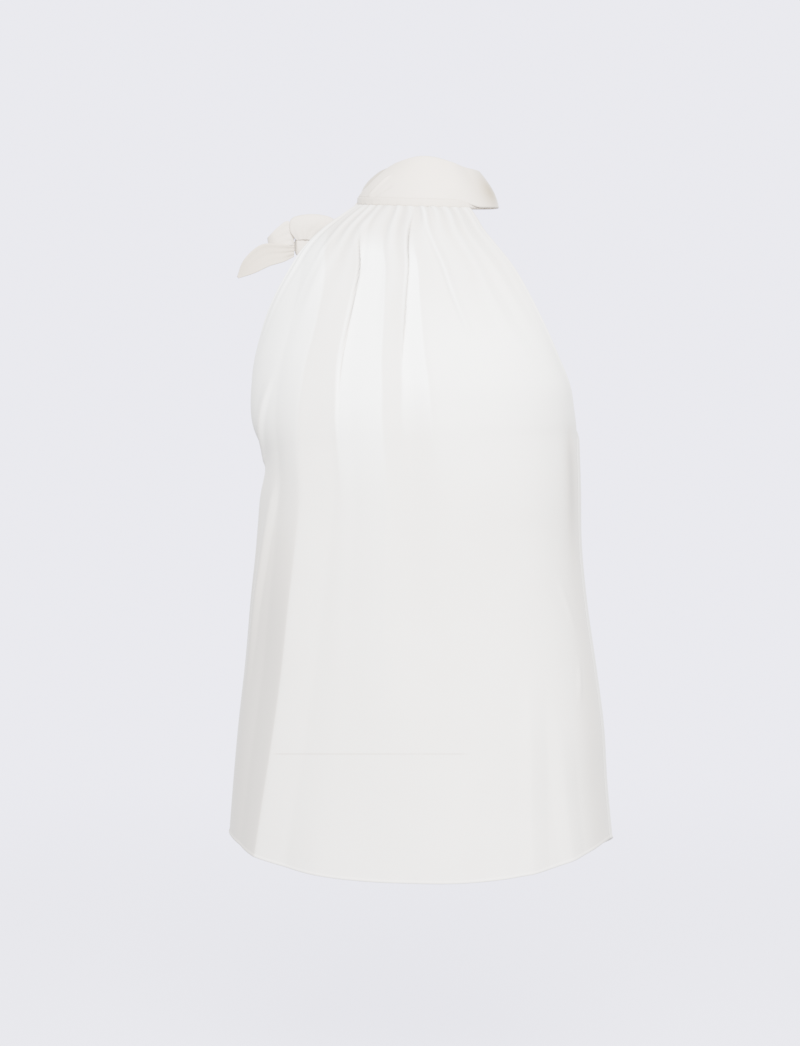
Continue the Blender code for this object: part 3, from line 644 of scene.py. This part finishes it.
def sash_foot(angle):
    return binding_top(angle) - SASH_TUCK - SASH_COVERS * covered(angle)


def sash_top(angle):
    front = np.maximum(np.cos(angle), 0) ** SASH_TOP_FRONT_POWER
    behind = np.maximum(-np.cos(angle), 0) ** SASH_TOP_BACK_POWER
    return SASH_TOP_SIDE + SASH_TOP_FRONT_RISE * front + SASH_TOP_BACK_RISE * behind


def creased(crease, degrees, up):
    """A ridge along a straight line between two points, which fades towards its ends."""
    x, y = (degrees - crease.angle_from) / HEIGHT_IN_DEGREES, up - crease.up_from
    line_x, line_y = (crease.angle_to - crease.angle_from) / HEIGHT_IN_DEGREES, crease.up_to - crease.up_from
    length = math.hypot(line_x, line_y)
    on = (x * line_x + y * line_y) / length ** 2
    off = (x * line_y - y * line_x) / length
    ends = smooth((on + CREASE_ENDS / 2) / CREASE_ENDS) * smooth((1 + CREASE_ENDS / 2 - on) / CREASE_ENDS)
    return crease.depth * np.exp(-(off / crease.breadth) ** 2) * ends


ring_angle = ring(1, sash_foot, sash_top)[1][0]
points, angle, up = ring(SASH_SHELL_ROWS, sash_foot, sash_top,
                         SASH_FOOT_FLARE + SASH_COVER_FLARE * covered(ring_angle),
                         SASH_LEAN, SASH_TOP_SHIFT, SASH_BULGE)
wrap_edge = np.interp(np.degrees(angle), WRAP_ANGLES, WRAP_HEIGHTS)
rise = WRAP_STEP * (smooth((wrap_edge - up) / WRAP_SOFTNESS) - 0.5)
degrees = np.degrees(angle)
rise = rise + sum(creased(crease, degrees, up) for crease in SASH_CREASES)
rise = rise + SASH_UNEVEN * waviness(degrees / 14, up * 4, 3)
points = points + grid_normals(points) * rise[..., None]
shade = np.exp(-((degrees - SHADE_ANGLE) / SHADE_BREADTH) ** 2 - ((up - SHADE_UP) / SHADE_UP) ** 2)
white = SASH_WHITE - UNDER_LAYER_SHADE * smooth((up - wrap_edge) / WRAP_SOFTNESS) * (degrees < 0)
white = white - SHADE * shade - creased(SASH_CREASE_SHADE, degrees, up)
sash = shell("sash_round_neck", points, SASH_THICKNESS * rounded(up, 0.03, 0.30), white)
wear(sash, SASH_CLOTH)
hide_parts("sash_band")


# Sash strap: the sash's end, bunched together where it leaves the neck at the wearer's right and
# running out over the shoulder into the knot. Ribbons are rows of bends in millimetres from the
# middle of the knot, in a frame that faces a little to the wearer's left.
KNOT = (-0.1205, 0.0080, -0.0330)
BOW_TURN = 14.0
RIBBON_CLOTH = 0.0014
RIBBON_COLUMNS = 24
RIBBON_STEPS = 16
PLEAT_DRIFT = 0.12      # how far a pleat wanders from its straight line
PLEAT_PHASE = 0.6
PLEATS_STOP_AT_EDGE = 0.25
BOW_WHITE = 0.8
Bend = namedtuple("Bend", "out up forward lean swing half_width cup")
STRAP = [
    Bend(-64.6, 54.4, 8.2, -38, 13, 9.2, 0),
    Bend(-66.0, 53.3, 3.8, -20, 8, 9.0, 0),
    Bend(-62.0, 47.5, -1.5, 25, 4, 8.5, 0),
    Bend(-56.0, 37.5, -5.5, 60, 0, 7.5, 0.5),
    Bend(-46.0, 25.5, -9.0, 48, 0, 8.5, 1),
    Bend(-36.0, 18.5, -10.0, 35, 0, 10.5, 1.5),
    Bend(-26.0, 12.0, -8.5, 28, 0, 10.5, 1.5),
    Bend(-16.0, 1.6, -2.2, 8, 0, 8.0, 1),
    Bend(-9.5, 0.0, 0.0, 0, 0, 6.5, 0),
]


def bow_vector(out, up, forward):
    """A direction or offset of the bow's frame as a vector of the garment's."""
    a = math.radians(BOW_TURN)
    sideways = np.array([-math.cos(a), -math.sin(a), 0])
    facing = np.array([math.sin(a), -math.cos(a), 0])
    return out * sideways + up * np.array([0, 0, 1.0]) + forward * facing


def ribbon(bends, rounding, pleats, pleat_rise, pleat_at_ends, seed):
    """Grid of a pleated ribbon: rows across the band, columns along it. rounding draws its corners in
    to the knot."""
    stations = np.arange(len(bends), dtype=float)
    t = np.linspace(0, len(bends) - 1, (len(bends) - 1) * RIBBON_STEPS + 1)
    value = {}
    for field in Bend._fields:
        y = np.array([getattr(bend, field) for bend in bends], float)
        slope = np.gradient(y, stations)
        i = np.minimum(t.astype(int), len(bends) - 2)
        s = t - i
        value[field] = (y[i] * (1 + 2 * s) * (1 - s) ** 2 + slope[i] * s * (1 - s) ** 2
                        + y[i + 1] * s * s * (3 - 2 * s) + slope[i + 1] * s * s * (s - 1))
    centre = np.array(KNOT) + np.array([
        bow_vector(o, u, f) for o, u, f in zip(value["out"], value["up"], value["forward"])]) / 1000
    lean, swing = np.radians(value["lean"]), np.radians(value["swing"])
    width = np.array([bow_vector(math.sin(l) * math.cos(w), math.cos(l) * math.cos(w), math.sin(w))
                      for l, w in zip(lean, swing)])
    tangent = np.gradient(centre, axis=0)
    tangent /= np.linalg.norm(tangent, axis=-1, keepdims=True)
    face = np.cross(tangent, width)
    face /= np.linalg.norm(face, axis=-1, keepdims=True)
    place = np.linspace(-1, 1, RIBBON_COLUMNS + 1)[:, None]
    on = (t / (len(bends) - 1))[None, :]
    pleat = np.cos(np.pi * pleats * (place + PLEAT_DRIFT * waviness(place * 2, on * 5, seed)) + PLEAT_PHASE)
    strength = np.interp(on[0], np.linspace(0, 1, len(pleat_at_ends)), pleat_at_ends)[None, :]
    pleat = pleat_rise * pleat * strength * smooth((1 - np.abs(place)) / PLEATS_STOP_AT_EDGE)
    half = (value["half_width"] / 1000)[None, :, None]
    cup = (value["cup"] / 1000)[None, :, None]
    place = place[..., None]
    points = centre + width * half * place - face * cup * place ** 2 + face * pleat[..., None]
    return np.array(KNOT) + (points - np.array(KNOT)) * (1 - rounding * place ** 2)


def tie(name, bends, pleats, pleat_rise, pleat_at_ends, seed, node, rounding=0.0,
        white=BOW_WHITE):
    """One ribbon of the bow as a thin shell with folded edges."""
    points = ribbon(bends, rounding, pleats, pleat_rise, pleat_at_ends, seed)
    place = np.broadcast_to(np.linspace(0, 1, RIBBON_COLUMNS + 1)[:, None], points.shape[:2])
    piece = shell(name, points, RIBBON_CLOTH * rounded(place, 0.08, 0.35), white)
    wear(piece, SASH_CLOTH)
    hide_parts(node)
    return piece


tie("sash_end_to_knot", STRAP, 4, 0.0008, (0.1, 0.6, 0.9, 0.8, 0.7, 1.0), 5,
    "sash_strap")


# Knot: the sash's end wrapped once round the strap and pulled tight, with the creases of the wrap.
KNOT_HALF = (0.0086, 0.0100, 0.0070)
KNOT_SQUARENESS = 0.60
KNOT_COLUMNS = 96
KNOT_ROWS = 64
KNOT_CREASE = 0.0003
KNOT_SLIT_SHADE = 2.2         # painted shade: how dark the slit is painted where the loop and the tail leave the knot
KNOT_SLIT_AT = 0.84
KNOT_SLIT_BREADTH = 0.09


def power(value, exponent):
    return np.sign(value) * np.abs(value) ** exponent


turn = np.linspace(0, 2 * np.pi, KNOT_COLUMNS + 1)[None, :-1]
tip = np.linspace(-np.pi / 2, np.pi / 2, KNOT_ROWS + 1)[:, None]
creases = KNOT_CREASE * (np.cos(5 * turn + 2.2 * np.sin(tip)) * np.cos(tip) ** 2
                         + 0.5 * waviness(turn * 3, tip * 3, 7) * np.cos(tip) ** 2) - KNOT_CREASE
out = (KNOT_HALF[0] + creases) * power(np.cos(tip), KNOT_SQUARENESS) * power(np.cos(turn), KNOT_SQUARENESS)
high = (KNOT_HALF[1] + 0 * turn) * power(np.sin(tip), KNOT_SQUARENESS)
ahead = (KNOT_HALF[2] + creases) * power(np.cos(tip), KNOT_SQUARENESS) * power(np.sin(turn), KNOT_SQUARENESS)
basis = np.array([bow_vector(1, 0, 0), bow_vector(0, 1, 0), bow_vector(0, 0, 1)])
points = np.array(KNOT) + np.stack([out, high, ahead], -1) @ basis
at = np.arange((KNOT_ROWS + 1) * KNOT_COLUMNS).reshape(KNOT_ROWS + 1, KNOT_COLUMNS)
right = np.roll(at, -1, 1)
faces = np.stack([at[:-1], at[1:], right[1:], right[:-1]], -1).reshape(-1, 4)
mesh = bpy.data.meshes.new("sash_knot")
mesh.from_pydata(points.reshape(-1, 3).tolist(), [], faces.tolist())
shape = bmesh.new()
shape.from_mesh(mesh)
bmesh.ops.remove_doubles(shape, verts=shape.verts, dist=0.00001)
bmesh.ops.recalc_face_normals(shape, faces=shape.faces)
shape.to_mesh(mesh)
shape.free()
mesh.polygons.foreach_set("use_smooth", np.ones(len(mesh.polygons), bool))
places = np.array([vertex.co[:] for vertex in mesh.vertices]) - np.array(KNOT)
outward = places @ basis[0] / KNOT_HALF[0]
mark_painted_light(mesh, BOW_WHITE - KNOT_SLIT_SHADE * np.exp(-((outward - KNOT_SLIT_AT) / KNOT_SLIT_BREADTH) ** 2))
knot = bpy.data.objects.new("sash_knot", mesh)
bpy.context.collection.objects.link(knot)
wear(knot, SASH_CLOTH)
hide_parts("knot")


# Loops: two short loops of the sash that stand out of the knot, one outwards and one upwards over
# it. They are pleated where the knot holds them and puff open beyond it.
LOOP_OUTER = [
    Bend(9.1, 5.8, 2.8, 0, 0, 5.8, 0),
    Bend(13, 11.4, 5.4, 5, 0, 11.6, 0),
    Bend(21.3, 8.2, 5.8, 18, 0, 9, 0),
    Bend(28, 4.9, 4.4, 18, 0, 6.6, 0),
    Bend(32.5, 3.2, -0.5, 10, 0, 5, 0),
    Bend(28, 4.9, -5, 18, 0, 6.6, 0),
    Bend(21.3, 8.2, -6, 18, 0, 9, 0),
    Bend(13, 11.4, -5.5, 5, 0, 11.6, 0),
    Bend(9.1, 5.8, -2.6, 0, 0, 5.8, 0),
]
LOOP_UPPER = [
    Bend(-1, 5.6, 7.6, 90, 0, 8, 0.6),
    Bend(-2, 13.5, 8.8, 90, 0, 15.4, 1),
    Bend(-6.2, 20, 9.2, 89, 0, 21, 1),
    Bend(-9, 25.6, 8, 88, 0, 23, 0),
    Bend(-10.5, 28.8, 4.8, 88, 0, 21.6, 0),
    Bend(-10, 24.5, 2, 89, 0, 18.5, 0),
    Bend(-6, 18, 1.2, 90, 0, 9.5, 0),
    Bend(-3, 13.6, 0, 90, 0, 4.6, 0),
]
LOOP_UPPER_ROUNDING = 0.13
LOOP_PLEAT = 0.0004
tie("sash_loop_outwards", LOOP_OUTER, 3, LOOP_PLEAT, (1, 0.6, 0.2, 0, 0, 0, 0.2, 0.6, 1), 6,
    "loop_outer")
tie("sash_loop_over_knot", LOOP_UPPER, 3, LOOP_PLEAT, (1, 0.6, 0.2, 0, 0.2, 0.6, 1), 8,
    "loop_upper", rounding=LOOP_UPPER_ROUNDING)


# Tails: the sash's two ends, cut to a point like a leaf. One sticks out beyond the loops, the other
# hangs down behind the knot.
TAIL_LEAF = [
    Bend(8.9, -5, 2.5, 0, 0, 5.2, 0),
    Bend(20, -7.4, 8.6, 10, 0, 8.4, 1),
    Bend(35, -9.6, 10, 22, 0, 10.8, 1.5),
    Bend(50, -19.5, 8, 37, 0, 8, 1.5),
    Bend(61, -29.5, 4, 42, 0, 1.2, 0),
]
TAIL_HANGING = [
    Bend(-1, -11, -2, 90, 0, 5, 0),
    Bend(-5, -28, -5, 90, 0, 9, 1.5),
    Bend(-8, -48, -7, 84, 0, 11, 2),
    Bend(-9, -66, -7, 78, 0, 7, 1.5),
    Bend(-9, -76, -6, 75, 0, 1.2, 0),
]
TAIL_PLEAT = 0.0004
TAIL_PLEAT_FADES = (1, 0.5, 0.2, 0.1, 0)
# painted shade: the leaf-shaped tail is painted greyer than the rest of the bow
LEAF_WHITE = 0.50
tie("sash_tail_leaf", TAIL_LEAF, 3, TAIL_PLEAT, TAIL_PLEAT_FADES, 9,
    "tail_leaf", white=LEAF_WHITE)
tie("sash_tail_hanging", TAIL_HANGING, 3, TAIL_PLEAT, TAIL_PLEAT_FADES, 10,
    "tail_hanging")


# Floor, light and camera: a pale floor that fades into a pale room, a large soft light from the
# upper left of the camera, and the camera level with the middle of the top.
LENS = 100
SENSOR = 36
CAMERA_TURN = 14.0
CAMERA_DISTANCE = 2.672
CAMERA_HEIGHT = -0.291
AIM_SIDEWAYS = -0.025
FLOOR_HEIGHT = -0.80
FLOOR_SIZE = 7.0
FLOOR_COLOUR = (0.90, 0.90, 0.99)
FLOOR_SHOWS = 0.25      # the floor is this solid in the middle and fades out towards its edge
FLOOR_FADES_FROM = 0.5
KEY_TURN = 17.0
KEY_DISTANCE = 2.6
KEY_HEIGHT = 1.5
KEY_SIZE = 1.6
KEY_POWER = 520.0
ROOM_COLOUR = (0.80, 0.785, 1.0)
ROOM_BRIGHTNESS = 5.2
FILL = 1.27

bpy.ops.mesh.primitive_circle_add(vertices=96, radius=FLOOR_SIZE / 2, fill_type="NGON",
                                  location=(0, 0, FLOOR_HEIGHT))
floor = bpy.context.object
floor.name = "floor"
paint = bpy.data.materials.new("pale_floor")
paint.use_nodes = True
Shade.tree = paint.node_tree
surface = paint.node_tree.nodes["Principled BSDF"]
surface.inputs["Base Color"].default_value = (*FLOOR_COLOUR, 1)
surface.inputs["Roughness"].default_value = 0.95
where = Shade.node("ShaderNodeTexCoord", output="Object")
reach = Shade.node("ShaderNodeVectorMath", {"operation": "LENGTH"}, {0: where}, output="Value")
fade = Shade.node("ShaderNodeMapRange", {"interpolation_type": "SMOOTHSTEP"}, {
    "Value": reach, "From Min": FLOOR_FADES_FROM, "From Max": FLOOR_SIZE / 2 - 0.1,
    "To Min": FLOOR_SHOWS, "To Max": 0.0})
paint.node_tree.links.new(fade.socket, surface.inputs["Alpha"])
floor.data.materials.append(paint)

room = bpy.data.worlds.new("pale_room")
room.use_nodes = True
Shade.tree = room.node_tree
backing = room.node_tree.nodes["Background"]
backing.inputs["Color"].default_value = (*ROOM_COLOUR, 1)
backing.inputs["Strength"].default_value = ROOM_BRIGHTNESS
fill = Shade.node("ShaderNodeBackground", None, {"Color": (1, 1, 1, 1), "Strength": FILL})
seen = Shade.node("ShaderNodeLightPath", output="Is Camera Ray")
both = Shade.node("ShaderNodeMixShader", None, {0: seen, 1: fill, 2: Shade(backing.outputs[0])})
room.node_tree.links.new(both.socket, room.node_tree.nodes["World Output"].inputs["Surface"])
bpy.context.scene.world = room


def towards(thing, target):
    """Turns a light or camera so that it looks at a point."""
    x, y, z = (target[k] - thing.location[k] for k in range(3))
    thing.rotation_euler = (math.atan2(math.hypot(x, y), -z), 0, math.atan2(-x, y))


a = math.radians(KEY_TURN)
key = bpy.data.objects.new("key_light", bpy.data.lights.new("key_light", "AREA"))
key.data.shape = "DISK"
key.data.size = KEY_SIZE
key.data.energy = KEY_POWER
key.location = (KEY_DISTANCE * math.sin(a), -KEY_DISTANCE * math.cos(a), CAMERA_HEIGHT + KEY_HEIGHT)
towards(key, (0, 0, CAMERA_HEIGHT))
bpy.context.collection.objects.link(key)

a = math.radians(CAMERA_TURN)
camera = bpy.data.objects.new("camera", bpy.data.cameras.new("camera"))
camera.data.lens = LENS
camera.data.sensor_fit = "AUTO"
camera.data.sensor_width = SENSOR
aim = (AIM_SIDEWAYS * math.cos(a), AIM_SIDEWAYS * math.sin(a), CAMERA_HEIGHT)
camera.location = (aim[0] + CAMERA_DISTANCE * math.sin(a), aim[1] - CAMERA_DISTANCE * math.cos(a), aim[2])
towards(camera, aim)
bpy.context.collection.objects.link(camera)
bpy.context.scene.camera = camera
